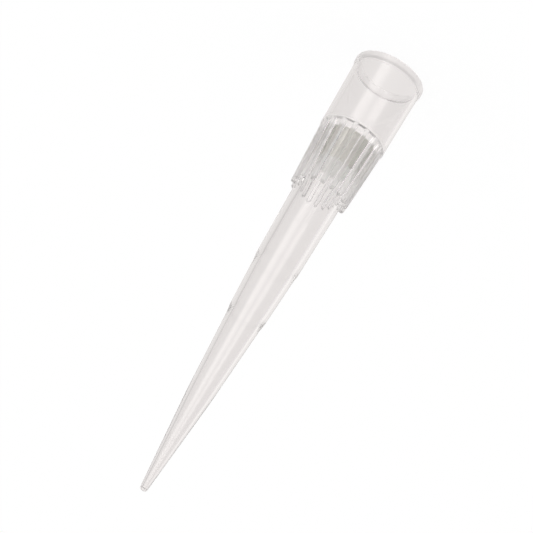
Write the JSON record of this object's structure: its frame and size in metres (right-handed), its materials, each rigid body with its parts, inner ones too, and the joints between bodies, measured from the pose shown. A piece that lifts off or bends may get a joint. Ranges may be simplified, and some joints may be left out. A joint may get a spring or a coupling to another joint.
{
  "type": "pipette tip",
  "caption": "Tapered clear plastic pipette tip with a wide smooth collar, a ribbed hub, an internal filter plug and a fine open end.",
  "frame": {"origin": "centre of the mouth rim, on the plane that the rim stands on", "axes": "+Z along the tip's axis from the wide mouth to the fine end; +X points through the middle of one rib"},
  "size_m": [0.0072, 0.0072, 0.051],
  "materials": {
    "clear_polypropylene": "clear moulded polypropylene, smooth, very slightly hazy",
    "porous_polyethylene": "sintered porous polyethylene, matte, fine grain"
  },
  "bodies": {
    "root": {"tip_body": "clear_polypropylene", "filter_plug": "porous_polyethylene"}
  },
  "joints": []
}
